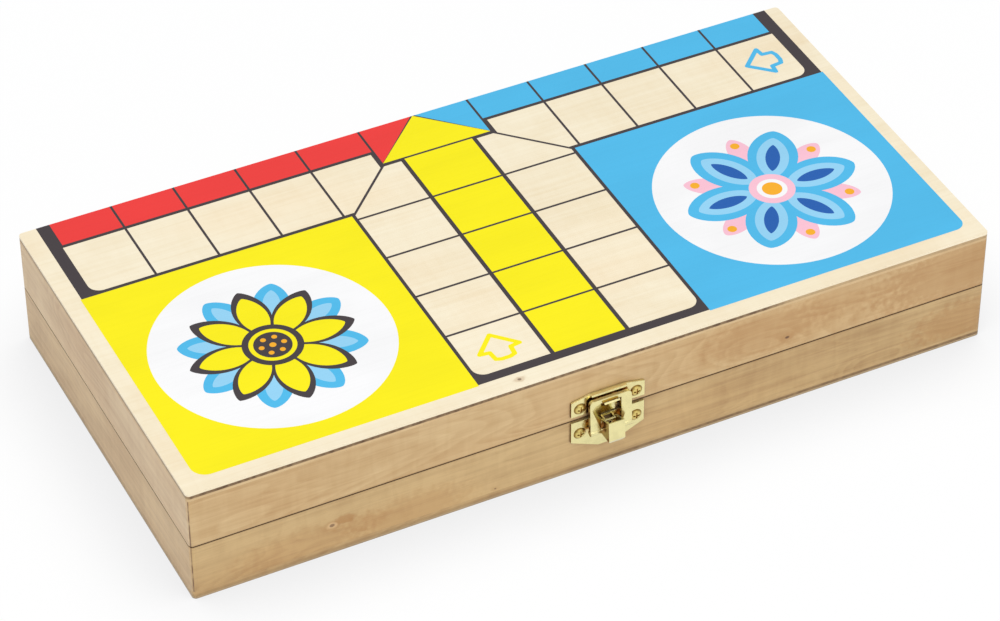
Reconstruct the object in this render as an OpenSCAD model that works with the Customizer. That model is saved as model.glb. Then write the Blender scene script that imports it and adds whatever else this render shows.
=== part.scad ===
// Folding ludo board box. Two shallow plywood trays meet at a seam half way up.
// A pair of butt hinges joins them along the back, and a toggle latch holds the front.
// Opened flat, their outer faces make one square board. Millimetres, +Z up, front at -Y.
// The origin is the centre of the underside of the shut box.

/* [Box] */
// Length of the shut box, left to right
box_length = 300; // [240:1:420]
// Depth of the shut box, front to back
box_depth = 149; // [120:1:220]
// Height of the shut box
box_height = 46; // [42:1:70]
// Thickness of the plywood top and bottom boards
panel_t = 3; // [2:0.5:5]
// Thickness of the frame walls
wall_t = 8; // [7:0.5:14]
// Plan radius of the upright corners
corner_r = 1.5; // [1:0.5:5]
// Gap between the two halves when the box is shut
seam_gap = 0.4; // [0.2:0.1:0.8]

/* [Hinges] */
// Length of a hinge
hinge_length = 25; // [18:1:40]
// From the end of the box to the middle of a hinge
hinge_inset = 55; // [30:1:90]
// Width of a hinge leaf, from the pin's centre to its edge
leaf_w = 6.6; // [6:0.1:7]
// Thickness of a hinge leaf
leaf_t = 1; // [0.6:0.1:1.4]
// Outer radius of the hinge barrel
barrel_r = 2; // [1.7:0.1:2.4]
// Radius of the hinge pin
hinge_pin_r = 0.9; // [0.6:0.1:1]
// Number of knuckles in one hinge, odd
knuckles = 5; // [3:2:7]

/* [Latch] */
// From the middle of the box to the middle of the latch, to the right
latch_x = 1.8; // [-5:0.1:5]
// Width of both latch plates
plate_w = 27.7; // [24:0.1:34]
// Width of the keeper plate along its top
plate_mid_w = 13.4; // [11:0.1:15]
// Width of the lower plate along its bottom
lower_mid_w = 7; // [5:0.1:12]
// Thickness of the sheet brass
sheet_t = 0.8; // [0.6:0.1:1]
// Height of the keeper plate's ears
keeper_ear_h = 6.5; // [5.8:0.1:7.2]
// Full height of the keeper plate
keeper_h = 8; // [7.8:0.1:9.5]
// Gap from the seam to the keeper plate
keeper_rise = 1.9; // [1.5:0.1:2.3]
// Gap from the seam to the lower plate
lower_drop = 0.5; // [0.4:0.1:1.5]
// Height of the lower plate's straight sides
lower_side_h = 8.6; // [8:0.1:11]
// Full height of the lower plate
lower_h = 13.2; // [13:0.1:16]
// Outer width of the loop
loop_w = 15.7; // [14:0.1:18]
// Width of each leg of the loop
loop_leg_w = 3.95; // [3:0.05:4]
// Thickness of the loop
loop_t = 1.3; // [1:0.1:1.4]
// Height of the loop's top bar
loop_bar_h = 1.5; // [1.2:0.1:1.6]
// Outer width of the lever
lever_w = 6.1; // [5.6:0.1:6.4]
// Radius of the lever's pivot pin
lever_pin_r = 0.55; // [0.4:0.05:0.6]
// Radius of the loop's pivot pin
loop_pin_r = 0.6; // [0.4:0.05:0.7]

/* [Screws] */
// Radius of the screw shanks
screw_r = 0.9; // [0.7:0.1:1]
// Radius of the latch screws' domed heads
dome_r = 2.3; // [1.8:0.1:2.5]
// Length of the latch screws behind the plate
latch_screw_len = 5; // [4:0.5:6]
// Length of the hinge screws
hinge_screw_len = 7; // [5:0.5:10]
// Radius of the hinge screws' flat heads
flat_head_r = 1.65; // [1.5:0.05:1.7]

/* [Game pieces] */
// Height of a pawn
pawn_h = 19; // [14:0.5:19]
// Radius of a pawn's foot
pawn_r = 5.5; // [4:0.1:7]
// Radius of a pawn's head
pawn_head_r = 3.3; // [2.5:0.1:4]
// Distance between neighbouring pawns
pawn_pitch = 15; // [14:0.5:20]
// From the middle of the box to the pawns' middle
pawn_offset = 100; // [80:1:100]
// Edge of the die
die_size = 12; // [8:0.5:16]
// Radius of a pip
pip_r = 0.95; // [0.6:0.05:1]

/* [Hidden] */
$fn = 48;
EPS = 0.01;
// Clearance of a running pin, a screw in its hole and a leaf in its mortise
pin_gap = 0.05;
screw_gap = 0.05;
mortise_gap = 0.1;
barrel_gap = 0.3;
knuckle_gap = 0.15;
pin_head_t = 0.5;
pin_head_r = 1.35;
half_h = box_height / 2;
rim_z = half_h - seam_gap / 2;
hinge_y = box_depth / 2 + seam_gap / 2;
hinge_x = box_length / 2 - hinge_inset;
knuckle_len = hinge_length / knuckles;
hinge_screw_x = hinge_length * 0.32;
hinge_screw_y = hinge_y - leaf_w * 0.62;
// Latch heights, from the seam, and distances out from the front face
keeper_z = half_h + keeper_rise;
lower_top_z = half_h - lower_drop;
keeper_screw_z = keeper_z + keeper_ear_h / 2;
lower_screw_z = half_h - 5.7;
latch_screw_x = 10.6;
lever_pivot = [1.1 + sheet_t, half_h - 2.8];
loop_pivot = [2.1 + sheet_t, half_h - 5.5];
bar_centre = [1.45 + sheet_t, half_h + 7.25];
bar_drop = loop_pivot[0] - bar_centre[0];
bar_rise = bar_centre[1] - loop_pivot[1];
loop_reach = sqrt(bar_drop * bar_drop + bar_rise * bar_rise);
loop_lean = asin(bar_drop / loop_reach);
loop_window_w = loop_w - 2 * loop_leg_w;
loop_eye_r = loop_pin_r + 0.55;
loop_corner_r = 1.5;
cheek_t = 0.7;
cheek_gap = 0.15;
lever_inner_w = lever_w - 2 * cheek_t;
ear_outer_w = lever_inner_w - 2 * cheek_gap;
ear_t = 0.7;
ear_r = 1;
lever_front = 5.4;
lever_corner_r = 1.3;
hook_w = 6;
hook_drop = 1.75;
tongue_gap = 0.3;
lip_out = 1.8;
die_pos = [-pawn_offset + pawn_pitch * 2.6, 0];
pip_depth = 0.4;
pip_fill_t = 0.25;
pip_pitch = die_size * 0.26;
PIPS = [
    [[0, 0]],
    [[-1, -1], [1, 1]],
    [[-1, -1], [0, 0], [1, 1]],
    [[-1, -1], [-1, 1], [1, -1], [1, 1]],
    [[-1, -1], [-1, 1], [0, 0], [1, -1], [1, 1]],
    [[-1, -1], [-1, 0], [-1, 1], [1, -1], [1, 0], [1, 1]]
];
// Turn of the die's face that carries one to six pips
PIP_FACES = [[0, 0, 0], [90, 0, 0], [0, 90, 0], [0, -90, 0], [-90, 0, 0], [180, 0, 0]];
birch = "BurlyWood";
brass = "Gold";

// A rectangle with round corners, as squares and circles
module round_rect(w, d, r) {
    square([w - 2 * r, d], center = true);
    square([w, d - 2 * r], center = true);
    for (x = [-1, 1], y = [-1, 1])
        translate([x * (w / 2 - r), y * (d / 2 - r)]) circle(r);
}

// Mirrors what follows in the seam, from the base half to the lid half
module lid_side() {
    translate([0, 0, box_height]) mirror([0, 0, 1]) children();
}

// Draws a side view, whose first coordinate runs out from the front face
module side_view(w) {
    translate([latch_x + w / 2, -box_depth / 2, 0]) rotate([90, 0, -90]) linear_extrude(w) children();
}

// Draws a front view, between two distances out from the front face
module front_view(from, to) {
    translate([latch_x, -box_depth / 2 - from, 0]) rotate([90, 0, 0]) linear_extrude(to - from) children();
}

// A cylinder across the box, at a place in the side view
module cross_pin(at, r, w) {
    translate([latch_x - w / 2, -box_depth / 2 - at[0], at[1]]) rotate([0, 90, 0]) cylinder(r = r, h = w);
}

// A cylinder along a hinge's axis
module hinge_rod(r, from, to) {
    translate([from, hinge_y, half_h]) rotate([0, 90, 0]) cylinder(r = r, h = to - from);
}

module panel() {
    linear_extrude(panel_t) round_rect(box_length, box_depth, corner_r);
}

// One mitred wall of the base half: a trapezium with its long side outwards
module mitred_wall(long, turn, reach) {
    h = rim_z - panel_t;
    translate([0, 0, panel_t]) intersection() {
        linear_extrude(h) round_rect(box_length, box_depth, corner_r);
        rotate([0, 0, turn]) translate([0, -reach, 0]) linear_extrude(h)
            polygon([[-long / 2, 0], [long / 2, 0], [long / 2 - wall_t, wall_t], [wall_t - long / 2, wall_t]]);
    }
}

module long_wall(turn) {
    mitred_wall(box_length, turn, box_depth / 2);
}

module short_wall(turn) {
    mitred_wall(box_depth, turn, box_length / 2);
}

// What a hinge takes out of the back wall: the barrel's notch, the mortise and the pilot holes
module hinge_cuts() {
    end = hinge_length / 2 + pin_head_t + mortise_gap;
    width = hinge_length + 2 * mortise_gap;
    hinge_rod(barrel_r + barrel_gap, -end, end);
    translate([-width / 2, hinge_y - leaf_w - mortise_gap, rim_z - leaf_t])
        cube([width, leaf_w + mortise_gap, leaf_t + 1]);
    for (x = [-1, 1]) translate([x * hinge_screw_x, hinge_screw_y, rim_z - hinge_screw_len - mortise_gap])
        cylinder(r = screw_r + screw_gap, h = hinge_screw_len + 1);
}

module back_wall() {
    difference() {
        long_wall(180);
        for (x = [-1, 1]) translate([x * hinge_x, 0, 0]) hinge_cuts();
    }
}

// The pilot holes for a latch plate's two screws
module latch_pilots(z) {
    depth = latch_screw_len + mortise_gap;
    for (x = [-1, 1]) translate([latch_x + x * latch_screw_x, -box_depth / 2 - 1, z])
        rotate([-90, 0, 0]) cylinder(r = screw_r + screw_gap, h = depth + 1);
}

module base_panel() { color(birch) panel(); }
module base_front_wall() {
    color(birch) difference() {
        long_wall(0);
        latch_pilots(lower_screw_z);
    }
}
module base_back_wall() { color(birch) back_wall(); }
module base_left_wall() { color(birch) short_wall(-90); }
module base_right_wall() { color(birch) short_wall(90); }

module lid_panel() { color(birch) lid_side() panel(); }
module lid_front_wall() {
    color(birch) difference() {
        lid_side() long_wall(0);
        latch_pilots(keeper_screw_z);
    }
}
module lid_back_wall() { color(birch) lid_side() back_wall(); }
module lid_left_wall() { color(birch) lid_side() short_wall(-90); }
module lid_right_wall() { color(birch) lid_side() short_wall(90); }

// One hinge leaf. It has the knuckles whose number leaves the given remainder by two.
module leaf(odd) {
    start = -hinge_length / 2;
    difference() {
        union() {
            translate([start, hinge_y - leaf_w, rim_z - leaf_t])
                cube([hinge_length, leaf_w - hinge_pin_r, leaf_t]);
            for (k = [odd:2:knuckles - 1])
                hinge_rod(barrel_r, start + k * knuckle_len + knuckle_gap * sign(k),
                    start + (k + 1) * knuckle_len - (k < knuckles - 1 ? knuckle_gap : 0));
        }
        for (k = [1 - odd:2:knuckles - 1])
            hinge_rod(barrel_r + barrel_gap, start + k * knuckle_len - (k > 0 ? 0 : EPS),
                start + (k + 1) * knuckle_len + (k < knuckles - 1 ? 0 : EPS));
        hinge_rod(hinge_pin_r + pin_gap, start - 1, -start + 1);
        for (x = [-1, 1]) translate([x * hinge_screw_x, hinge_screw_y, rim_z - leaf_t - EPS]) {
            cylinder(r = screw_r + screw_gap, h = leaf_t + 1);
            translate([0, 0, leaf_t + EPS - (flat_head_r - screw_r)])
                cylinder(r1 = screw_r + screw_gap, r2 = flat_head_r + screw_gap, h = flat_head_r - screw_r + EPS);
        }
    }
}

module hinge_pin() {
    end = hinge_length / 2;
    hinge_rod(hinge_pin_r, -end - EPS, end + EPS);
    hinge_rod(pin_head_r, -end - pin_head_t, -end);
    hinge_rod(pin_head_r, end, end + pin_head_t);
}

// A countersunk screw with its head flush at z = 0 and a cross slot
module flat_screw() {
    head_h = flat_head_r - screw_r;
    difference() {
        union() {
            translate([0, 0, -hinge_screw_len]) cylinder(r = screw_r, h = hinge_screw_len - head_h + EPS);
            translate([0, 0, -head_h]) cylinder(r1 = screw_r, r2 = flat_head_r, h = head_h);
        }
        for (a = [0, 90]) rotate([0, 0, a]) translate([0, 0, -0.2]) cube([1.8, 0.4, 0.8], center = true);
    }
}

module hinge_screws() {
    for (h = [-1, 1], x = [-1, 1])
        translate([h * hinge_x + x * hinge_screw_x, hinge_screw_y, rim_z]) flat_screw();
}

module hinge_left_base_leaf() { color(brass) translate([-hinge_x, 0, 0]) leaf(0); }
module hinge_right_base_leaf() { color(brass) translate([hinge_x, 0, 0]) leaf(0); }
module hinge_left_lid_leaf() { color(brass) translate([-hinge_x, 0, 0]) lid_side() leaf(1); }
module hinge_right_lid_leaf() { color(brass) translate([hinge_x, 0, 0]) lid_side() leaf(1); }
module hinge_left_pin() { color(brass) translate([-hinge_x, 0, 0]) hinge_pin(); }
module hinge_right_pin() { color(brass) translate([hinge_x, 0, 0]) hinge_pin(); }
module hinge_screws_base() { color(brass) hinge_screws(); }
module hinge_screws_lid() { color(brass) lid_side() hinge_screws(); }

// The holes for a plate's two screws, through the sheet
module plate_holes(z) {
    for (x = [-1, 1]) translate([x * latch_screw_x, z]) circle(screw_r + screw_gap);
}

// The lower plate: a trapezium below a straight band, with two ears that hold the lever's pin
module latch_lower_plate() {
    side_z = lower_top_z - lower_side_h;
    bottom_z = lower_top_z - lower_h;
    window = [ear_outer_w - 2 * ear_t, lower_side_h - 2.6];
    color(brass) {
        front_view(0, sheet_t) difference() {
            polygon([
                [-plate_w / 2, lower_top_z], [plate_w / 2, lower_top_z], [plate_w / 2, side_z],
                [lower_mid_w / 2, bottom_z], [-lower_mid_w / 2, bottom_z], [-plate_w / 2, side_z]
            ]);
            plate_holes(lower_screw_z);
            translate([-window[0] / 2, lower_top_z - 1 - window[1]]) square(window);
        }
        for (x = [-1, 1]) difference() {
            translate([x * (ear_outer_w - ear_t) / 2, 0, 0]) side_view(ear_t) {
                translate([sheet_t / 2, lever_pivot[1] - 1.6]) square([lever_pivot[0] - sheet_t / 2, 1.6 + ear_r]);
                translate(lever_pivot) circle(ear_r);
            }
            cross_pin(lever_pivot, lever_pin_r + pin_gap, lever_w);
        }
    }
}

module latch_lever_pin() {
    head = 0.35;
    color(brass) {
        cross_pin(lever_pivot, lever_pin_r, lever_w + 2 * head);
        for (x = [-1, 1]) translate([x * (lever_w / 2 + cheek_gap / 2 + head / 2), 0, 0])
            cross_pin(lever_pivot, lever_pin_r + 0.3, head);
    }
}

// The keeper on the lid: a plate with a lip along its top, a tongue down to the seam
// and a hook that opens upwards
module latch_keeper() {
    top_z = keeper_z + keeper_h;
    ear_z = keeper_z + keeper_ear_h;
    web_z = bar_centre[1] - hook_drop;
    tongue_z = half_h + tongue_gap;
    hook_t = 0.7;
    color(brass) {
        front_view(0, sheet_t) difference() {
            polygon([
                [-plate_w / 2, keeper_z], [-hook_w / 2, keeper_z], [-hook_w / 2, tongue_z],
                [hook_w / 2, tongue_z], [hook_w / 2, keeper_z], [plate_w / 2, keeper_z], [plate_w / 2, ear_z],
                [plate_mid_w / 2, top_z], [-plate_mid_w / 2, top_z], [-plate_w / 2, ear_z]
            ]);
            plate_holes(keeper_screw_z);
        }
        side_view(plate_mid_w) translate([0, top_z - sheet_t]) square([lip_out, sheet_t]);
        side_view(hook_w) translate([sheet_t, web_z]) polygon([
            [-sheet_t / 2, -hook_t], [1.7, -hook_t], [3.4, 1], [2.9, 1.5], [1.4, 0], [-sheet_t / 2, 0]
        ]);
    }
}

// A round-headed screw whose head sits on the plate at z = 0, with a cross slot
module dome_screw() {
    dome_h = dome_r * 0.42;
    ball_r = (dome_r * dome_r + dome_h * dome_h) / (2 * dome_h);
    difference() {
        union() {
            translate([0, 0, -latch_screw_len]) cylinder(r = screw_r, h = latch_screw_len + EPS);
            intersection() {
                translate([0, 0, dome_h - ball_r]) sphere(ball_r);
                cylinder(r = dome_r, h = dome_h);
            }
        }
        for (a = [0, 90]) rotate([0, 0, a]) translate([0, 0, dome_h]) cube([2.4, 0.6, 1.1], center = true);
    }
}

module latch_screws(z) {
    for (x = [-1, 1]) translate([latch_x + x * latch_screw_x, -box_depth / 2 - sheet_t, z])
        rotate([90, 0, 0]) dome_screw();
}

module latch_screws_base() { color(brass) latch_screws(lower_screw_z); }
module latch_screws_lid() { color(brass) latch_screws(keeper_screw_z); }

// The lever: a channel open towards the plate, with round lower corners and a short bottom lip
module latch_lever() {
    pivot = lever_pivot;
    front = pivot[0] + lever_front;
    top = pivot[1] + 3.2;
    low = pivot[1] - 5.9;
    color(brass) difference() {
        intersection() {
            union() {
                side_view(lever_w) polygon([
                    [pivot[0], pivot[1] + ear_r], [front, top], [front + 0.6, low + 1.6],
                    [front - 0.4, low], [pivot[0] - 0.5, low + 0.4], [pivot[0] - ear_r, pivot[1]]
                ]);
                cross_pin(pivot, ear_r, lever_w);
            }
            front_view(0, front + 2) {
                translate([-lever_w / 2, low + lever_corner_r]) square([lever_w, 20]);
                translate([0, low + 10]) round_rect(lever_w, 20, lever_corner_r);
            }
        }
        side_view(lever_inner_w) polygon([
            [-1, top + 3], [front - cheek_t, top + 3], [front - cheek_t, top], [front - cheek_t + 0.6, low + 1.7],
            [front - 0.8, low + cheek_t], [front - 2.4, low + cheek_t], [front - 2.4, low - 1], [-1, low - 1]
        ]);
        cross_pin(lever_pivot, lever_pin_r + pin_gap, lever_w + 1);
        cross_pin(loop_pivot, loop_pin_r + pin_gap, lever_w + 1);
    }
}

module latch_loop_pin() { color(brass) cross_pin(loop_pivot, loop_pin_r, loop_w + 0.2); }

// The loop, drawn upright over its pivot and leant back to the hook
module latch_loop() {
    top = loop_reach + loop_bar_h / 2;
    color(brass) translate([latch_x, -box_depth / 2 - loop_pivot[0], loop_pivot[1]]) rotate([-loop_lean, 0, 0])
        difference() {
            union() {
                translate([0, loop_t / 2, 0]) rotate([90, 0, 0]) linear_extrude(loop_t) {
                    translate([-loop_w / 2, 0]) square([loop_w, top - loop_corner_r]);
                    translate([0, top / 2]) round_rect(loop_w, top, loop_corner_r);
                }
                translate([-loop_w / 2, 0, 0]) rotate([0, 90, 0]) cylinder(r = loop_eye_r, h = loop_w);
            }
            translate([-loop_window_w / 2, -5, -5]) cube([loop_window_w, 10, top + 5 - loop_bar_h]);
            translate([-loop_w, 0, 0]) rotate([0, 90, 0]) cylinder(r = loop_pin_r + pin_gap, h = 2 * loop_w);
        }
}

// A pawn: a foot, a cone and a round head
module pawn() {
    foot_h = 2;
    head_z = pawn_h - pawn_head_r;
    cylinder(r = pawn_r, h = foot_h);
    translate([0, 0, foot_h]) cylinder(r1 = pawn_r, r2 = pawn_head_r * 0.55, h = head_z - foot_h);
    translate([0, 0, head_z - pawn_head_r * 0.95]) cylinder(r = pawn_head_r * 0.9, h = pawn_head_r * 0.28);
    translate([0, 0, head_z]) sphere(pawn_head_r);
}

// Four pawns of one colour, in one row from front to back
module pawn_row(row) {
    for (k = [0:3]) translate([-pawn_offset + (row - 1.5) * pawn_pitch, (k - 1.5) * pawn_pitch, panel_t]) pawn();
}

module pawns_red() { color("Crimson") pawn_row(0); }
module pawns_yellow() { color("Yellow") pawn_row(1); }
module pawns_blue() { color("DeepSkyBlue") pawn_row(2); }
module pawns_green() { color("LimeGreen") pawn_row(3); }

// Puts a disc at each pip's place, from a depth below the face up to a height over that depth
module pip_discs(r, h) {
    for (n = [0:5]) rotate(PIP_FACES[n]) for (p = PIPS[n])
        translate([p[0] * pip_pitch, p[1] * pip_pitch, die_size / 2 - pip_depth]) cylinder(r = r, h = h);
}

module on_tray() {
    translate([die_pos[0], die_pos[1], panel_t + die_size / 2]) children();
}

module die() {
    color("White") on_tray() difference() {
        intersection() {
            cube(die_size, center = true);
            sphere(die_size * 0.72);
        }
        pip_discs(pip_r, 1);
    }
}

module die_pips() { color("DimGray") on_tray() pip_discs(pip_r, pip_fill_t); }

base_panel();
base_front_wall();
base_back_wall();
base_left_wall();
base_right_wall();
lid_panel();
lid_front_wall();
lid_back_wall();
lid_left_wall();
lid_right_wall();
hinge_left_base_leaf();
hinge_left_lid_leaf();
hinge_left_pin();
hinge_right_base_leaf();
hinge_right_lid_leaf();
hinge_right_pin();
hinge_screws_base();
hinge_screws_lid();
latch_lower_plate();
latch_lever_pin();
latch_screws_base();
latch_keeper();
latch_screws_lid();
latch_lever();
latch_loop_pin();
latch_loop();
pawns_red();
pawns_yellow();
pawns_blue();
pawns_green();
die();
die_pips();
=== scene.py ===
"""The looks of the folding ludo board box: wood, brass, printed board, game pieces and camera."""

import math

import bpy
from mathutils import Matrix, Vector
from mathutils.geometry import delaunay_2d_cdt


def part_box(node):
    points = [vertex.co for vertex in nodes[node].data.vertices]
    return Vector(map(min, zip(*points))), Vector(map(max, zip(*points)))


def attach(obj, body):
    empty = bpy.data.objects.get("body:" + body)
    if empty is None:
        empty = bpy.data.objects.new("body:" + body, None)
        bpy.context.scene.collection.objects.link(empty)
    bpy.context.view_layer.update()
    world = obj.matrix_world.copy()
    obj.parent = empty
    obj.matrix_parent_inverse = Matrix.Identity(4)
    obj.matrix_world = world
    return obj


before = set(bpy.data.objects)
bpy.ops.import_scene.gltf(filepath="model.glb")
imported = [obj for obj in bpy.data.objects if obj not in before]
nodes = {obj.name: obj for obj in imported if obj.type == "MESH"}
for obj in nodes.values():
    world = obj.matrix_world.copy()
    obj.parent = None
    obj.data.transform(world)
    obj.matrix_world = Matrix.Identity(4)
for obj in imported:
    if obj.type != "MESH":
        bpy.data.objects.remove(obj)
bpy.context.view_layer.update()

MM = 0.001

# The box, read from the frame: X and Y in millimetres, and Z in metres
panel_low, panel_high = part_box("lid_panel")
BOX_L = (panel_high[0] - panel_low[0]) / MM
HALF_L = BOX_L / 2
BACK_Y = panel_high[1] / MM
FRONT_Y = panel_low[1] / MM
TOP_Z = panel_high[2]
SEAM_Z = TOP_Z / 2

# The camera, fitted to seven corners of the box in the photograph
AZIMUTH = math.radians(-26.17)
ELEVATION = math.radians(39.986)
ROLL = math.radians(-0.255)
DISTANCE = 1419.2 * MM
FOCAL_PX = 3999.2
AIM = Vector((4.8, 12.6, 0.0)) * MM
IMAGE_W = 1000
SENSOR_W = 36.0


def add_camera():
    back = Vector((
        math.sin(AZIMUTH) * math.cos(ELEVATION),
        -math.cos(AZIMUTH) * math.cos(ELEVATION),
        math.sin(ELEVATION),
    ))
    level = Vector((math.cos(AZIMUTH), math.sin(AZIMUTH), 0.0))
    upright = back.cross(level)
    right = level * math.cos(ROLL) + upright * math.sin(ROLL)
    up = upright * math.cos(ROLL) - level * math.sin(ROLL)
    data = bpy.data.cameras.new("camera")
    data.sensor_width = SENSOR_W
    data.lens = FOCAL_PX * SENSOR_W / IMAGE_W
    camera = bpy.data.objects.new("camera", data)
    bpy.context.scene.collection.objects.link(camera)
    turn = Matrix((right, up, back)).transposed()
    camera.matrix_world = Matrix.Translation(AIM + back * DISTANCE) @ turn.to_4x4()
    bpy.context.scene.camera = camera


def srgb(r, g, b):
    """A colour read in 0 to 255 display values, as the linear colour that a shader takes."""
    def linear(value):
        value /= 255
        return value / 12.92 if value <= 0.04045 else ((value + 0.055) / 1.055) ** 2.4
    return (linear(r), linear(g), linear(b), 1.0)


class Shader:
    """Builds one node material, with a short call for each node."""

    def __init__(self, name):
        self.material = bpy.data.materials.new(name)
        self.material.use_nodes = True
        self.tree = self.material.node_tree
        self.tree.nodes.clear()
        self.bsdf = self.add("ShaderNodeBsdfPrincipled")
        out = self.add("ShaderNodeOutputMaterial")
        self.join(self.bsdf.outputs["BSDF"], out.inputs["Surface"])

    def add(self, kind, **props):
        made = self.tree.nodes.new(kind)
        for key, value in props.items():
            setattr(made, key, value)
        return made

    def join(self, source, target):
        self.tree.links.new(source, target)

    def put(self, target, value):
        if isinstance(value, bpy.types.NodeSocket):
            self.join(value, target)
        else:
            target.default_value = value

    def set(self, **values):
        for key, value in values.items():
            self.put(self.bsdf.inputs[key.replace("_", " ")], value)

    def place(self, scale=(1, 1, 1), shift=(0, 0, 0)):
        """Object coordinates in millimetres, scaled and shifted."""
        coords = self.add("ShaderNodeTexCoord").outputs["Object"]
        mapping = self.add("ShaderNodeMapping")
        self.join(coords, mapping.inputs["Vector"])
        mapping.inputs["Scale"].default_value = [s / MM for s in scale]
        mapping.inputs["Location"].default_value = shift
        return mapping.outputs["Vector"]

    def noise(self, vector, scale=1.0, detail=2.0, rough=0.5, distort=0.0):
        made = self.add("ShaderNodeTexNoise")
        self.join(vector, made.inputs["Vector"])
        made.inputs["Scale"].default_value = scale
        made.inputs["Detail"].default_value = detail
        made.inputs["Roughness"].default_value = rough
        made.inputs["Distortion"].default_value = distort
        return made.outputs["Fac"]

    def math(self, operation, a, b=0.0, c=0.0):
        made = self.add("ShaderNodeMath", operation=operation)
        for socket, value in zip(made.inputs, (a, b, c)):
            self.put(socket, value)
        return made.outputs[0]

    def band(self, value, low, high, to_low=0.0, to_high=1.0):
        """A smooth step from to_low to to_high as value goes from low to high."""
        made = self.add("ShaderNodeMapRange", interpolation_type="SMOOTHSTEP")
        for socket, number in zip(made.inputs, (value, low, high, to_low, to_high)):
            self.put(socket, number)
        return made.outputs[0]

    def mix(self, factor, a, b, blend="MIX"):
        made = self.add("ShaderNodeMix", data_type="RGBA", blend_type=blend)
        self.put(made.inputs["Factor"], factor)
        self.put(made.inputs[6], a)
        self.put(made.inputs[7], b)
        return made.outputs[2]

    def split(self, vector):
        made = self.add("ShaderNodeSeparateXYZ")
        self.join(vector, made.inputs[0])
        return made.outputs

    def bump(self, height, strength, depth):
        """Roughens the surface by a height value, with a depth in millimetres."""
        made = self.add("ShaderNodeBump")
        made.inputs["Strength"].default_value = strength
        made.inputs["Distance"].default_value = depth * MM
        self.join(height, made.inputs["Height"])
        self.join(made.outputs["Normal"], self.bsdf.inputs["Normal"])


ROSY = (1.0, 0.93, 0.86, 1.0)
KNOT = srgb(96, 60, 34)
STAIN = srgb(172, 121, 62)
RING = srgb(226, 192, 142)
# The colour of the mitres' glue lines, and of the painted shade at the seam
GLUE_LINE_AND_SEAM_SHADE = srgb(112, 78, 46)
# The colour of the dark ply, darkened further as painted shade
CORE_PLY_AND_SHADE = srgb(90, 58, 22)
# The colour of the painted shade in narrow places
NARROW_SHADE = srgb(66, 42, 18)
# The colour of the painted shade on the metal's sideways edges and dome rims
BRASS_EDGE_SHADE = srgb(132, 98, 34)
# The colour of the painted shade in the metal's narrow places
BRASS_SHADE = srgb(176, 108, 26)
# How far from a neighbouring surface the painted shade in narrow places reaches, on the wood and on the
# brass
NARROW_SHADE_REACH = 3 * MM
BRASS_SHADE_REACH = 2.5 * MM
# Where the dark ply, with its painted shade, starts and ends, in millimetres in from the outer face
CORE_START = 0.7
CORE_END = 2.1


def wood_colour(s, light, dark, along, seed, figure=0.5):
    """Fine pale wood with its grain along one axis, 0 for X or 1 for Y, as (colour, height for the bump)."""
    def stretched(across, length, shift):
        scale = [across, across, across]
        scale[along] = length
        return s.place(scale, (seed, seed * 1.7 + shift, seed * 2.3 - shift))

    fibre = s.noise(stretched(1.8, 0.03, 0), 1.0, 3.0, 0.65)
    lines = s.noise(stretched(0.45, 0.006, 5), 1.0, 3.0, 0.6, 0.3)
    cloud = s.noise(stretched(0.05, 0.022, 9), 1.0, 3.0, 0.55, 0.6)
    pores = s.band(s.noise(stretched(2.6, 0.3, 13), 1.0, 1.0), 0.68, 0.8)
    # Growth lines that bend round, shown only in patches
    field = s.noise(stretched(0.055, 0.012, 17), 1.0, 1.0, 0.4, 0.5)
    saw = s.math("FRACT", s.math("MULTIPLY", field, 16.0))
    rings = s.math("MULTIPLY", s.band(saw, 0.0, 0.8), s.band(saw, 0.85, 1.0, 1.0, 0.0))
    patch = s.band(s.noise(stretched(0.03, 0.012, 21), 1.0, 1.0), 0.42, 0.62)
    rings = s.math("MULTIPLY", s.math("MULTIPLY", rings, patch), figure)
    # Silky bars across the grain
    silk = s.noise(stretched(0.06, 0.3, 25), 1.0, 2.0, 0.5, 0.6)
    depth = s.math("ADD", s.band(cloud, 0.28, 0.72, 0.0, 0.42), s.math("MULTIPLY", rings, 0.45))
    depth = s.math("ADD", depth, s.band(lines, 0.35, 0.7, -0.04, 0.2))
    depth = s.math("ADD", depth, s.band(fibre, 0.35, 0.75, -0.06, 0.14))
    depth = s.math("ADD", depth, s.band(silk, 0.35, 0.7, -0.05, 0.07))
    depth = s.math("ADD", depth, s.math("MULTIPLY", pores, 0.22))
    colour = s.mix(s.math("MINIMUM", s.math("MAXIMUM", depth, 0.0), 1.0), light, dark)
    # Warm and cool drifts of tint
    tint = s.noise(stretched(0.035, 0.015, 29), 1.0, 2.0)
    colour = s.mix(s.band(tint, 0.4, 0.75, 0.0, 0.5), colour, ROSY, "MULTIPLY")
    height = s.math("SUBTRACT", fibre, s.math("MULTIPLY", pores, 0.8))
    return colour, height


def spot(s, at, radius, stretch=1.0, along=0):
    """One inside an ellipse round a place in millimetres and zero outside, with a soft edge."""
    scale = [1.0, 1.0, 1.0]
    scale[along] = 1.0 / stretch
    shift = [-a * k for a, k in zip(at, scale)]
    length = s.add("ShaderNodeVectorMath", operation="LENGTH")
    wobble = s.noise(s.place((0.5, 0.5, 0.5)), 1.0, 2.0)
    s.join(s.place(scale, shift), length.inputs[0])
    ragged = s.math("MULTIPLY", s.math("SUBTRACT", wobble, 0.5), radius)
    reach = s.math("ADD", length.outputs["Value"], ragged)
    return s.band(reach, radius * 0.45, radius, 1.0, 0.0)


def shaded_in_narrows(s, colour):
    """Paints shade into narrow places, such as those beside and behind the metal and along the floor, where
    ambient occlusion finds a near surface.
    """
    near = s.add("ShaderNodeAmbientOcclusion", samples=8)
    near.inputs["Distance"].default_value = NARROW_SHADE_REACH
    return s.mix(s.band(near.outputs["AO"], 0.25, 0.85, 0.9, 0.0), colour, NARROW_SHADE)


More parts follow.
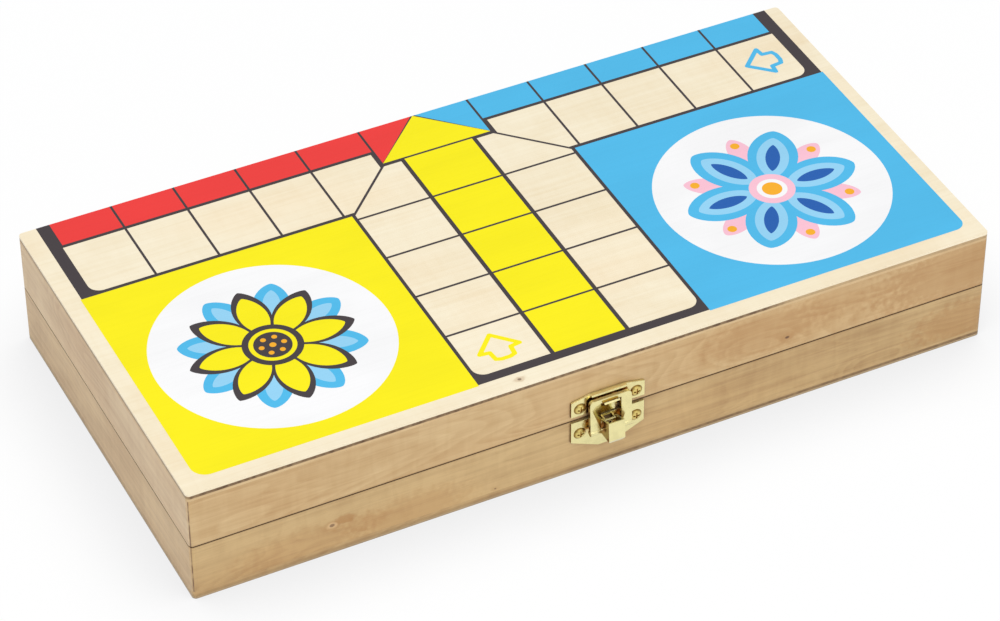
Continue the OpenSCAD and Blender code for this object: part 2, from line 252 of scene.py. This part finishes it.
def wall_wood(name, light, dark, along, seed, knots=(), stains=(), seam_shade_share=0.6):
    """Solid wood with knots, stains, mitre lines and painted shade along its rim at the seam. The last
    argument tells how dark that painted shade is.
    """
    s = Shader(name)
    colour, height = wood_colour(s, light, dark, along, seed)
    for at, radius, share in stains:
        colour = s.mix(s.math("MULTIPLY", spot(s, at, radius, 2.4, along), share), colour, STAIN)
    for at, radius, share, ring in knots:
        halo = s.math("MULTIPLY", spot(s, at, radius * 3.2, 1.8, along), share * 0.35)
        colour = s.mix(halo, colour, STAIN)
        colour = s.mix(s.math("MULTIPLY", spot(s, at, radius * 2.0, 1.4, along), ring), colour, RING)
        colour = s.mix(s.math("MULTIPLY", spot(s, at, radius, 1.3, along), share), colour, KNOT)
    # The mitre's glue line, where both outer faces are equally near
    xyz = s.split(s.place())
    inset_x = s.math("SUBTRACT", HALF_L, s.math("ABSOLUTE", xyz[0]))
    inset_y = s.math("SUBTRACT", BACK_Y, s.math("ABSOLUTE", xyz[1]))
    off = s.math("ABSOLUTE", s.math("SUBTRACT", inset_x, inset_y))
    patchy = s.band(s.noise(s.place((0.3, 0.3, 0.25)), 1.0, 2.0), 0.3, 0.6, 0.25, 0.9)
    line = s.math("MULTIPLY", s.band(off, 0.18, 0.5, 1.0, 0.0), patchy)
    colour = s.mix(line, colour, GLUE_LINE_AND_SEAM_SHADE)
    # Painted shade along the rim at the seam, where the two halves meet
    rim = s.math("ABSOLUTE", s.math("SUBTRACT", xyz[2], SEAM_Z / MM))
    wear_and_shade = s.band(rim, 0.2, 0.75, seam_shade_share, 0.0)
    colour = s.mix(wear_and_shade, colour, GLUE_LINE_AND_SEAM_SHADE)
    # Painted shade in narrow places, such as beside and behind the metal
    colour = shaded_in_narrows(s, colour)
    s.set(Base_Color=colour, Roughness=s.band(height, 0.2, 0.8, 0.55, 0.45))
    s.set(Coat_Weight=0.08, Coat_Roughness=0.35)
    s.bump(height, 0.25, 0.12)
    return s.material


def ply_wood(
    name, light, dark, edge_light, edge_dark, seed, knots=(), outer=1.0, clear=(60, 74, 1.0, 0.35),
):
    """Plywood with a pale face, whose edge shows a dark ply between an outer and an inner one, darkened
    further as painted shade under the panel's edge and along the floor.

    outer is the share of pale face wood in the outer ply's edge. clear gives two places along X in
    millimetres, and how strongly the dark ply shows up to the first and from the second.
    """
    s = Shader(name)
    face, height = wood_colour(s, light, dark, 0, seed, 0.15)
    for at, radius, share in knots:
        face = s.mix(s.math("MULTIPLY", spot(s, at, radius * 2.4, 1.6), share * 0.5), face, STAIN)
        face = s.mix(s.math("MULTIPLY", spot(s, at, radius, 1.2), share), face, KNOT)
    edge = wood_colour(s, edge_light, edge_dark, 0, seed + 3)[0]
    z = s.split(s.place())[2]
    depth = s.math("MINIMUM", z, s.math("SUBTRACT", TOP_Z / MM, z))
    edge = s.mix(s.band(depth, CORE_START, CORE_START + 0.15, outer, 0.0), edge, face)
    core_in = s.band(depth, CORE_START, CORE_START + 0.2)
    core_out = s.band(depth, CORE_END - 0.3, CORE_END, 1.0, 0.0)
    dark_ply_and_shade_mask = s.math("MULTIPLY", core_in, core_out)
    end_grain = s.band(s.noise(s.place((0.5, 0.5, 0.4)), 1.0, 3.0), 0.3, 0.7, 0.7, 1.0)
    # The dark ply and its painted shade are fainter on the left end
    x = s.split(s.place())[0]
    shown = s.math("MULTIPLY", s.band(x, *clear), s.band(x, 0.5 - HALF_L, 2 - HALF_L, 0.6, 1.0))
    edge = s.mix(s.math("MULTIPLY", s.math("MULTIPLY", dark_ply_and_shade_mask, end_grain), shown), edge, CORE_PLY_AND_SHADE)
    normal = s.add("ShaderNodeNewGeometry").outputs["Normal"]
    up = s.math("ABSOLUTE", s.split(normal)[2])
    # Painted shade in narrow places, such as along the floor
    colour = shaded_in_narrows(s, s.mix(s.band(up, 0.55, 0.85), edge, face))
    s.set(Base_Color=colour, Roughness=s.band(height, 0.2, 0.8, 0.5, 0.42))
    s.set(Coat_Weight=0.1, Coat_Roughness=0.3)
    s.bump(height, 0.15, 0.08)
    return s.material


def brass_metal(name, colour, rough, grime=0.5, domed=False):
    """Brass, with painted shade on faces that turn away to the sides or down and in narrow places. domed is
    for round screw heads.
    """
    s = Shader(name)
    cloud = s.noise(s.place((0.35, 0.35, 0.35)), 1.0, 3.0)
    brushed = s.noise(s.place((0.6, 6.0, 6.0)), 1.0, 2.0)
    wear_and_shade = [channel * 0.85 for channel in colour[:3]] + [1.0]
    tint = s.mix(s.math("MULTIPLY", s.band(cloud, 0.4, 0.7), grime), colour, wear_and_shade)
    normal = s.split(s.add("ShaderNodeNewGeometry").outputs["Normal"])
    outward = s.math("ABSOLUTE", normal[1])
    upward = s.band(normal[2], 0.3, 0.7)
    if domed:
        # Painted shade all round a screw dome's rim, where its face turns away
        edge_shade = s.band(outward, 0.74, 0.92, 0.9, 0.0)
    else:
        # Painted shade on edges that face sideways or down, darker than the rolled face
        edge_shade = s.band(outward, 0.45, 0.96, 0.85, 0.0)
        edge_shade = s.math("MULTIPLY", edge_shade, s.math("SUBTRACT", 1.0, upward))
    tint = s.mix(edge_shade, tint, BRASS_EDGE_SHADE)
    # Painted shade in the metal's narrow places, found by ambient occlusion; faces that look up get less of
    # it
    shade_ao = s.add("ShaderNodeAmbientOcclusion", samples=8)
    shade_ao.inputs["Distance"].default_value = BRASS_SHADE_REACH
    share = s.band(shade_ao.outputs["AO"], 0.3, 0.95, 0.62, 0.0)
    share = s.math("MULTIPLY", share, s.math("SUBTRACT", 1.0, s.math("MULTIPLY", upward, 0.85)))
    tint = s.mix(share, tint, BRASS_SHADE)
    # Faces that look up are duller
    polish = s.band(brushed, 0.3, 0.7, rough, rough + 0.07)
    roughness = s.math("ADD", polish, s.math("MULTIPLY", upward, 0.3))
    s.set(Base_Color=tint, Metallic=1.0, Roughness=roughness)
    s.bump(s.noise(s.place((0.5, 0.5, 0.5)), 1.0, 2.0), 0.2, 0.4)
    return s.material


def gloss_paint(name, colour, rough=0.28):
    s = Shader(name)
    cloud = s.noise(s.place((0.3, 0.3, 0.3)), 1.0, 2.0)
    deep = [channel * 0.86 for channel in colour[:3]] + [1.0]
    s.set(Base_Color=s.mix(s.band(cloud, 0.35, 0.7), colour, deep), Roughness=rough)
    s.set(Coat_Weight=0.5, Coat_Roughness=0.12)
    s.bump(s.noise(s.place((1.5, 1.5, 1.5)), 1.0, 2.0), 0.1, 0.1)
    return s.material


def ink(name, colour):
    """Screen-printed ink: flat, with the wood's fibres showing faintly through it."""
    s = Shader(name)
    fibre = s.noise(s.place((0.03, 1.6, 1.6)), 1.0, 3.0, 0.6)
    cloud = s.noise(s.place((0.02, 0.05, 0.05)), 1.0, 2.0)
    deep = [channel * 0.93 for channel in colour[:3]] + [1.0]
    share = s.math("ADD", s.band(fibre, 0.35, 0.75, 0.0, 0.3), s.band(cloud, 0.35, 0.65, 0.0, 0.5))
    s.set(Base_Color=s.mix(share, colour, deep), Roughness=0.5, Specular_IOR_Level=0.25)
    s.bump(fibre, 0.1, 0.05)
    return s.material


# The round edges' widths in millimetres
WALL_EDGE = 0.3
PANEL_EDGE = 0.55
PLATE_EDGE = 0.2
PIN_EDGE = 0.08
WELD_REACH = 0.002 * MM
SHARP_ANGLE = math.radians(35)


def soften(name, width, segments=2):
    """Rounds a CAD node's sharp edges with a bevel of a width in millimetres, over its own mesh."""
    piece = nodes[name]
    weld = piece.modifiers.new("weld", "WELD")
    weld.merge_threshold = WELD_REACH
    bevel = piece.modifiers.new("bevel", "BEVEL")
    bevel.width = width * MM
    bevel.segments = segments
    bevel.limit_method = "ANGLE"
    bevel.angle_limit = SHARP_ANGLE
    bevel.use_clamp_overlap = True


def dress(name, material):
    slots = nodes[name].data.materials
    for index in range(len(slots)):
        slots[index] = material


# The printed board. Points are (x, y) in millimetres on one half of the board: x runs from its
# left end, as in the photograph, and y from the hinge edge.
PRINT_MID = 150.6
PRINT_END = 142.3
ARM_END = 144.0
HOME_OUT = 144.4
HOME_END = 142.8
HOME_IN = 43.4
BAND_IN = 139.5
BAND_OUT = 12.6
COLUMN_HALF = 42.1
COLUMN_IN = 14.8
MID_HALF = 13.25
LINE = 0.45
ARM_LINES = [45.9, 69.3, 92.8, 116.25]
ROW_LINES = [45.25, 68.7, 92.0, 115.3]
ARM_TOP = 14.0
ARM_BOTTOM = 41.2
CELL_END = 138.6
HOME_TOP = 42.7
CELL_R = 4.3
CORNER = (22.9, 22.1)
CORNER_BAR = 1.4
TRIANGLE_END = 20.5
MEDAL_A = (54.95, 93.15)
MEDAL_B = (245.1, 94.25)
MEDAL_R = 42.0
FILM_T = 0.03 * MM

YELLOW = (252, 239, 12)
RED = (241, 62, 60)
BLUE = (80, 188, 236)
GREEN = (104, 196, 78)
CHARCOAL = (70, 63, 66)
WHITE = (249, 249, 250)
SKY = (150, 212, 245)
DEEP = (34, 96, 178)
PINK = (252, 196, 214)
ORANGE = (250, 178, 40)
PALE_GREEN = (190, 228, 150)
INKS = {
    "yellow": YELLOW, "red": RED, "blue": BLUE, "green": GREEN, "charcoal": CHARCOAL, "white": WHITE,
    "sky": SKY, "deep_blue": DEEP, "pink": PINK, "orange": ORANGE, "pale_green": PALE_GREEN,
}
# The half with the lid's colours, and the base's half, which is the same turned half a turn
LID_COLOURS = {"home_a": "yellow", "home_b": "blue", "band_a": "red", "band_b": "blue", "column": "yellow"}
BASE_COLOURS = {"home_a": "green", "home_b": "red", "band_a": "blue", "band_b": "red", "column": "green"}


def arc(centre, radius, start, end, steps=12):
    """Points along an arc, with angles in degrees."""
    angles = [math.radians(start + (end - start) * k / steps) for k in range(steps + 1)]
    return [(centre[0] + radius * math.cos(a), centre[1] + radius * math.sin(a)) for a in angles]


def rectangle(x0, y0, x1, y1, round_corner=None, radius=0.0):
    """A rectangle, with one corner round: "left" or "right" at the far edge, y1."""
    if round_corner == "left":
        return [(x0, y0), (x1, y0), (x1, y1)] + arc((x0 + radius, y1 - radius), radius, 90, 180)
    if round_corner == "right":
        return [(x0, y1), (x0, y0), (x1, y0)] + arc((x1 - radius, y1 - radius), radius, 0, 90)
    return [(x0, y0), (x1, y0), (x1, y1), (x0, y1)]


def disc(centre, radius, steps=96):
    return arc(centre, radius, 0, 360, steps)[:-1]


def flipped(points):
    """The same shape on the other side of the print's middle line."""
    return [(2 * PRINT_MID - x, y) for x, y in reversed(points)]


def stroke(points, width, colour):
    """A closed line with round joins, as one capsule for each stretch."""
    shapes = []
    for (ax, ay), (bx, by) in zip(points, points[1:] + points[:1]):
        turn = math.degrees(math.atan2(by - ay, bx - ax))
        half = width / 2
        outline = arc((bx, by), half, turn - 90, turn + 90, 8)
        outline += arc((ax, ay), half, turn + 90, turn + 270, 8)
        shapes.append((outline, colour))
    return shapes


def arrow(centre, turn, colour):
    """An outlined block arrow with round joins, pointing along an angle in degrees."""
    half = [(6.4, 0), (-1.4, 7.4), (-1.9, 3.9), (-5.7, 3.5), (-6.4, 1.6)]
    outline = half + [(x, -y) for x, y in reversed(half[1:])]
    c, s = math.cos(math.radians(turn)), math.sin(math.radians(turn))
    placed = [(centre[0] + x * c - y * s, centre[1] + x * s + y * c) for x, y in outline]
    return stroke(placed, 1.7, colour)


def petal(centre, turn, inner, outer, width, colour, point=0.0, steps=20):
    """A petal from an inner to an outer radius. point draws its tips in."""
    mid, half = (inner + outer) / 2, (outer - inner) / 2
    outline = []
    for k in range(2 * steps):
        a = math.pi * k / steps
        x = mid + half * math.cos(a)
        y = width / 2 * math.sin(a) * abs(math.sin(a)) ** point
        c, s = math.cos(math.radians(turn)), math.sin(math.radians(turn))
        outline.append((centre[0] + x * c - y * s, centre[1] + x * s + y * c))
    return outline, colour


def ring_of(count, start, make):
    return [make(start + 360 * k / count) for k in range(count)]


def sunflower(centre, petals, tip, leaf, leaf_core, heart, dots):
    """A round flower: leaves behind, pointed petals with a tip, and a heart with a ring of dots."""
    shapes = ring_of(8, 22.5, lambda a: petal(centre, a, 9, 32, 13, leaf, 0.3))
    shapes += ring_of(8, 22.5, lambda a: petal(centre, a, 14, 28.5, 6, leaf_core, 0.4))
    shapes += ring_of(8, 0, lambda a: petal(centre, a, 5, 30, 12.5, tip, 0.5))
    shapes += ring_of(8, 0, lambda a: petal(centre, a, 6, 26.5, 10, petals, 0.5))
    for radius, colour in ((10.5, heart), (8.2, petals), (6.6, heart)):
        shapes.append((disc(centre, radius, 48), colour))
    for turn in range(0, 360, 60):
        x = centre[0] + 4.1 * math.cos(math.radians(turn))
        y = centre[1] + 4.1 * math.sin(math.radians(turn))
        shapes.append((disc((x, y), 1.0, 16), dots))
    shapes.append((disc(centre, 1.2, 16), dots))
    return shapes


def blossom(centre, outer, middle, dark_ply_and_shade_mask, heart, dots):
    """A round flower of six layered petals, with buds between them."""
    shapes = ring_of(6, 30, lambda a: petal(centre, a, 12, 31, 9, heart, 0.2))
    shapes += ring_of(6, 0, lambda a: petal(centre, a, 4, 33, 18, outer, 0.25))
    shapes += ring_of(6, 0, lambda a: petal(centre, a, 6, 29, 11.5, middle, 0.35))
    shapes += ring_of(6, 0, lambda a: petal(centre, a, 10, 25, 5.2, dark_ply_and_shade_mask, 0.5))
    for radius, steps, colour in ((8.2, 48, heart), (5.4, 48, "white"), (3.6, 32, dots)):
        shapes.append((disc(centre, radius, steps), colour))
    for turn in range(30, 390, 60):
        x = centre[0] + 27 * math.cos(math.radians(turn))
        y = centre[1] + 27 * math.sin(math.radians(turn))
        shapes.append((disc((x, y), 1.7, 20), dots))
    return shapes


def arm_cells():
    """The cells of the left arm and of the column's left half, as outlines."""
    left = PRINT_MID - BAND_IN
    edges = [left] + [PRINT_MID - x for x in reversed(ARM_LINES)]
    cells = [rectangle(left, ARM_TOP, edges[1] - LINE, ARM_BOTTOM, "left", CELL_R)]
    for x0, x1 in zip(edges[1:-1], edges[2:]):
        cells.append(rectangle(x0 + LINE, ARM_TOP, x1 - LINE, ARM_BOTTOM))
    # The two cells that meet on the diagonal, where x + y is the same as at the middle of the hinge
    gap = LINE * math.sqrt(2)
    last = edges[-1] + LINE
    corner_x = PRINT_MID - CORNER[0]
    cells.append([
        (last, ARM_TOP), (corner_x, ARM_TOP), (corner_x, CORNER[0] - gap),
        (PRINT_MID - gap - ARM_BOTTOM, ARM_BOTTOM), (last, ARM_BOTTOM),
    ])
    x0, x1 = PRINT_MID - COLUMN_HALF, PRINT_MID - COLUMN_IN
    cells.append([
        (PRINT_MID + gap - CORNER[1], CORNER[1]), (x1, CORNER[1]), (x1, ROW_LINES[0] - LINE),
        (x0, ROW_LINES[0] - LINE), (x0, COLUMN_HALF + gap),
    ])
    for y0, y1 in zip(ROW_LINES, ROW_LINES[1:]):
        cells.append(rectangle(x0, y0 + LINE, x1, y1 - LINE))
    cells.append(rectangle(x0, ROW_LINES[-1] + LINE, x1, CELL_END, "left", CELL_R))
    return cells


def band_cells():
    """The coloured half row along the hinge edge, on the left side, with the centre's corner."""
    edges = [PRINT_MID - BAND_IN + 0.4 - LINE] + [PRINT_MID - x for x in reversed(ARM_LINES)]
    edges.append(PRINT_MID - CORNER[0] + CORNER_BAR)
    cells = [rectangle(x0 + LINE, 0, x1 - LINE, BAND_OUT) for x0, x1 in zip(edges, edges[1:])]
    x0 = edges[-1] + LINE
    tip = PRINT_MID - 0.8
    cells.append([(x0, 0), (tip, 0), (x0, tip - x0)])
    return cells


def board_half(colours):
    """The shapes of one printed half in painting order, as (outline, ink). No ink is bare wood."""
    left, right = PRINT_MID - ARM_END, PRINT_MID + ARM_END
    shapes = [
        (rectangle(left, 0, right, HOME_TOP), "charcoal"),
        (rectangle(PRINT_MID - HOME_IN, 12, PRINT_MID + HOME_IN, PRINT_END), "charcoal"),
    ]
    for cell in arm_cells():
        shapes += [(cell, None), (flipped(cell), None)]
    for cell in band_cells():
        shapes += [(cell, colours["band_a"]), (flipped(cell), colours["band_b"])]
    # The centre's triangle and the coloured column
    wide = TRIANGLE_END + 0.6
    triangle = [(PRINT_MID, 0), (PRINT_MID + wide, TRIANGLE_END), (PRINT_MID - wide, TRIANGLE_END)]
    shapes.append((triangle, colours["column"]))
    rows = [TRIANGLE_END + LINE] + ROW_LINES + [CELL_END + LINE]
    for y0, y1 in zip(rows, rows[1:]):
        shapes.append((
            rectangle(PRINT_MID - MID_HALF, y0 + LINE, PRINT_MID + MID_HALF, y1 - LINE), colours["column"],
        ))
    home_in = PRINT_MID - HOME_IN
    home_a = rectangle(PRINT_MID - HOME_OUT, HOME_TOP, home_in, HOME_END, "left", 5.5)
    home_b = rectangle(PRINT_MID + HOME_IN, HOME_TOP, PRINT_MID + HOME_OUT, HOME_END, "right", 4.2)
    shapes += [(home_a, colours["home_a"]), (home_b, colours["home_b"])]
    shapes += [(disc(MEDAL_A, MEDAL_R), "white"), (disc(MEDAL_B, MEDAL_R), "white")]
    if colours is LID_COLOURS:
        shapes += sunflower(MEDAL_A, "yellow", "charcoal", "blue", "sky", "charcoal", "orange")
        shapes += blossom(MEDAL_B, "blue", "sky", "deep_blue", "pink", "orange")
    else:
        shapes += sunflower(MEDAL_A, "green", "charcoal", "pale_green", "yellow", "charcoal", "orange")
        shapes += blossom(MEDAL_B, "red", "pink", "orange", "pale_green", "yellow")
    shapes += arrow((278.6, 27.5), 180, colours["band_b"])
    shapes += arrow((121.7, 127.4), -90, colours["column"])
    return shapes


def flatten(shapes):
    """Cuts overlapping shapes into triangles, as (points, {ink: triangles}) with the last painted on top."""
    points, faces = [], []
    for outline, _ in shapes:
        faces.append(list(range(len(points), len(points) + len(outline))))
        points += [Vector(p) for p in outline]
    flat = delaunay_2d_cdt(points, [], faces, 1, 0.00001)
    by_ink = {}
    for triangle, sources in zip(flat[2], flat[5]):
        colour = shapes[max(sources)][1] if sources else None
        if colour:
            by_ink.setdefault(colour, []).append(triangle)
    return flat[0], by_ink


def film(name, points, triangles, to_world, normal):
    """A closed film of ink over some of the triangles."""
    used = sorted({index for triangle in triangles for index in triangle})
    low = [to_world(points[index]) for index in used]
    high = [point + normal * FILM_T for point in low]
    place = {index: k for k, index in enumerate(used)}
    count = len(used)
    faces, borders = [], {}
    for triangle in triangles:
        a, b, c = (place[index] for index in triangle)
        if (low[b] - low[a]).cross(low[c] - low[a]).dot(normal) < 0:
            b, c = c, b
        faces += [(a + count, b + count, c + count), (c, b, a)]
        for edge in ((a, b), (b, c), (c, a)):
            if edge[::-1] in borders:
                del borders[edge[::-1]]
            else:
                borders[edge] = True
    faces += [(a, b, b + count, a + count) for a, b in borders]
    mesh = bpy.data.meshes.new(name)
    mesh.from_pydata(low + high, [], faces)
    mesh.update()
    piece = bpy.data.objects.new(name, mesh)
    bpy.context.scene.collection.objects.link(piece)
    return piece


def print_half(body, colours, to_world, normal, inks):
    points, by_ink = flatten(board_half(colours))
    for colour, triangles in sorted(by_ink.items()):
        piece = film(body + "_print_" + colour, points, triangles, to_world, normal)
        piece.data.materials.append(inks[colour])
        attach(piece, body)


def print_board():
    inks = {name: ink("ink_" + name, srgb(*rgb)) for name, rgb in INKS.items()}

    # These take a point of the print into the frame
    def on_lid(point):
        return Vector(((point[0] - HALF_L) * MM, (BACK_Y - point[1]) * MM, TOP_Z))

    def under_base(point):
        return Vector(((2 * PRINT_MID - HALF_L - point[0]) * MM, (BACK_Y - point[1]) * MM, 0.0))

    print_half("lid", LID_COLOURS, on_lid, Vector((0, 0, 1)), inks)
    print_half("base", BASE_COLOURS, under_base, Vector((0, 0, -1)), inks)


TOP_LIGHT = srgb(250, 239, 212)
TOP_DARK = srgb(238, 220, 184)
EDGE_LIGHT = srgb(220, 190, 142)
EDGE_DARK = srgb(190, 154, 104)
FRONT_LIGHT = srgb(213, 183, 134)
FRONT_DARK = srgb(182, 142, 90)
# The base half's front tones are a darker copy of the lid's, as painted shade on the lower half of the box
BASE_FRONT_SHADED_PALE = srgb(205, 174, 122)
BASE_FRONT_SHADED_DEEP = srgb(164, 127, 79)
SIDE_LIGHT = srgb(224, 198, 158)
SIDE_DARK = srgb(188, 152, 110)
# The base half's side tones are a darker copy of the lid's, as painted shade on the lower half of the box
BASE_SIDE_SHADED_PALE = srgb(218, 188, 142)
BASE_SIDE_SHADED_DEEP = srgb(176, 141, 98)

# The wood's marks, placed as in the photograph. Each is (place, radius, share of darkness), and a
# knot in a wall also has the share of its pale ring. Places and radii are in millimetres.
TOP_KNOTS = [((-29.3, -71.2, 46), 0.7, 0.7)]
LID_KNOTS = [((71, FRONT_Y, 28.6), 0.8, 0.9, 0.0)]
LID_STAINS = [
    ((62, FRONT_Y, 34), 13, 0.3), ((142, FRONT_Y, 34), 20, 0.45), ((100, FRONT_Y, 40), 14, 0.2),
]
BASE_KNOTS = [((-100, FRONT_Y, 12.2), 0.9, 0.7, 0.6), ((-40, FRONT_Y, 4.2), 0.4, 0.7, 0.0)]
BASE_STAINS = [
    ((-95.6, FRONT_Y, 13.4), 2.4, 0.55), ((-88, FRONT_Y, 9), 5, 0.25), ((-112, FRONT_Y, 6), 12, 0.25),
    ((-70, FRONT_Y, 6), 11, 0.3), ((142, FRONT_Y, 10), 11, 0.45),
]
# How dark the painted shade on the rims of the front and side walls is at the seam
FRONT_SEAM_SHADE = 0.45
SIDE_SEAM_SHADE = 0.15


def dress_wood():
    dress("lid_panel", ply_wood(
        "top_plywood", TOP_LIGHT, TOP_DARK, EDGE_LIGHT, EDGE_DARK, seed=4.0, knots=TOP_KNOTS,
    ))
    # The base panel's edge takes the base front's darker copy, as painted shade
    dress("base_panel", ply_wood(
        "bottom_plywood", TOP_LIGHT, TOP_DARK, BASE_FRONT_SHADED_PALE, BASE_FRONT_SHADED_DEEP, seed=9.0,
        outer=0.2, clear=(-30, 20, 0.25, 0.75),
    ))
    dress("lid_front_wall", wall_wood(
        "lid_front_wood", FRONT_LIGHT, FRONT_DARK, 0, 1.0, LID_KNOTS, LID_STAINS, FRONT_SEAM_SHADE,
    ))
    # The base's front wall takes the darker copy of the wood, as painted shade
    dress("base_front_wall", wall_wood(
        "base_front_wood", BASE_FRONT_SHADED_PALE, BASE_FRONT_SHADED_DEEP, 0, 6.0, BASE_KNOTS, BASE_STAINS, FRONT_SEAM_SHADE,
    ))
    for half, seed in (("lid", 2.0), ("base", 7.0)):
        dress(half + "_back_wall", wall_wood(half + "_back_wood", FRONT_LIGHT, FRONT_DARK, 0, seed + 11))
        for side, shift in (("left", 0.5), ("right", 1.5)):
            name = half + "_" + side
            # The base's side walls take the darker copy of the wood, as painted shade
            tones = (SIDE_LIGHT, SIDE_DARK) if half == "lid" else (BASE_SIDE_SHADED_PALE, BASE_SIDE_SHADED_DEEP)
            wood = wall_wood(name + "_wood", *tones, 1, seed + shift, seam_shade_share=SIDE_SEAM_SHADE)
            dress(name + "_wall", wood)
    for name in nodes:
        if name.endswith("_wall"):
            soften(name, WALL_EDGE)
        if name.endswith("_panel"):
            soften(name, PANEL_EDGE, 3)


BRASS = srgb(238, 228, 168)
SCREW_BRASS = srgb(228, 206, 124)
PAWN_PAINTS = {"red": RED, "yellow": YELLOW, "blue": (40, 140, 225), "green": (70, 170, 70)}
DIE_WHITE = srgb(244, 243, 238)
PIP_BLACK = srgb(36, 34, 36)


def dress_metal():
    brass = brass_metal("brass", BRASS, 0.16)
    screw = brass_metal("brass_screw", SCREW_BRASS, 0.24, 0.8, True)
    for name in nodes:
        if name.startswith(("hinge_", "latch_")):
            dress(name, screw if "screws" in name else brass)
            soften(name, PIN_EDGE if "screws" in name or "pin" in name else PLATE_EDGE)


def dress_game_pieces():
    for colour, rgb in PAWN_PAINTS.items():
        dress("pawns_" + colour, gloss_paint("paint_" + colour, srgb(*rgb)))
    dress("die", gloss_paint("die_white", DIE_WHITE))
    dress("die_pips", gloss_paint("die_black", PIP_BLACK, 0.4))


# The floor, with lengths in metres
FLOOR_SIZE = 6.0
FLOOR_Z = -0.06 * MM
FLOOR_COLOUR = (0.955, 0.965, 0.985, 1.0)
FLOOR_GLOW = 0.95
SHADOW = (0.86, 0.86, 0.865, 1.0)
SHADOW_REACH = 42 * MM
PURE_WHITE = (1.0, 1.0, 1.0, 1.0)


def backdrop_material(name, colour, glow):
    """A pale surface that glows almost white to the camera and in reflections.

    glow is the share of that glow, and the rest shows the lights' own shadow. Ambient occlusion
    draws a soft shadow round the object into the glow.
    """
    s = Shader(name)
    out = s.tree.nodes["Material Output"]
    cloud = s.noise(s.place((0.002, 0.002, 0.002)), 1.0, 2.0)
    tone = s.mix(cloud, colour, [channel * 0.99 for channel in colour[:3]] + [1.0])
    s.set(Base_Color=tone, Roughness=0.9)
    emission = s.add("ShaderNodeEmission")
    rays = s.add("ShaderNodeLightPath")
    seen = s.math("MAXIMUM", rays.outputs["Is Camera Ray"], rays.outputs["Is Glossy Ray"])
    near = s.add("ShaderNodeAmbientOcclusion", samples=16)
    near.inputs["Distance"].default_value = SHADOW_REACH
    s.join(s.mix(s.band(near.outputs["AO"], 0.45, 1.0), SHADOW, PURE_WHITE), emission.inputs["Color"])
    blend = s.add("ShaderNodeMixShader")
    s.join(s.math("MULTIPLY", seen, glow), blend.inputs[0])
    s.join(s.bsdf.outputs["BSDF"], blend.inputs[1])
    s.join(emission.outputs[0], blend.inputs[2])
    s.join(blend.outputs[0], out.inputs["Surface"])
    return s.material


def add_floor():
    mesh = bpy.data.meshes.new("floor")
    half = FLOOR_SIZE / 2
    corners = [(x * half, y * half, FLOOR_Z) for x, y in ((-1, -1), (1, -1), (1, 1), (-1, 1))]
    mesh.from_pydata(corners, [], [(0, 1, 2, 3)])
    floor = bpy.data.objects.new("floor", mesh)
    bpy.context.scene.collection.objects.link(floor)
    mesh.materials.append(backdrop_material("floor", FLOOR_COLOUR, FLOOR_GLOW))


# The place that the lights point at, in metres
LIGHT_AIM = Vector((0, 0, 0.02))
SKY_STRENGTH = 0.5


def add_light(name, place, size, power):
    """A soft rectangular light that points at the box."""
    data = bpy.data.lights.new(name, "AREA")
    data.shape = "RECTANGLE"
    data.size, data.size_y = size
    data.energy = power
    light = bpy.data.objects.new(name, data)
    light.location = place
    light.rotation_euler = (LIGHT_AIM - Vector(place)).to_track_quat("-Z", "Y").to_euler()
    bpy.context.scene.collection.objects.link(light)


def add_lights():
    """Two soft lights, with places and sizes in metres and power in watts."""
    add_light("key", (-0.4, -0.5, 2.0), (1.6, 1.6), 24.5)
    add_light("front", (0.5, -1.8, 0.9), (1.6, 0.8), 8.0)


def add_world():
    """An even sky that lights softly and shows white to the camera."""
    world = bpy.data.worlds.new("world")
    bpy.context.scene.world = world
    world.use_nodes = True
    tree = world.node_tree
    tree.nodes.clear()
    blend = tree.nodes.new("ShaderNodeMixShader")
    rays = tree.nodes.new("ShaderNodeLightPath")
    tree.links.new(rays.outputs["Is Camera Ray"], blend.inputs[0])
    for index, strength in ((1, SKY_STRENGTH), (2, 1.0)):
        sky = tree.nodes.new("ShaderNodeBackground")
        sky.inputs["Color"].default_value = PURE_WHITE
        sky.inputs["Strength"].default_value = strength
        tree.links.new(sky.outputs[0], blend.inputs[index])
    out = tree.nodes.new("ShaderNodeOutputWorld")
    tree.links.new(blend.outputs[0], out.inputs["Surface"])


add_camera()
dress_wood()
dress_metal()
dress_game_pieces()
print_board()
add_floor()
add_world()
add_lights()
bpy.context.scene.view_settings.view_transform = "Standard"
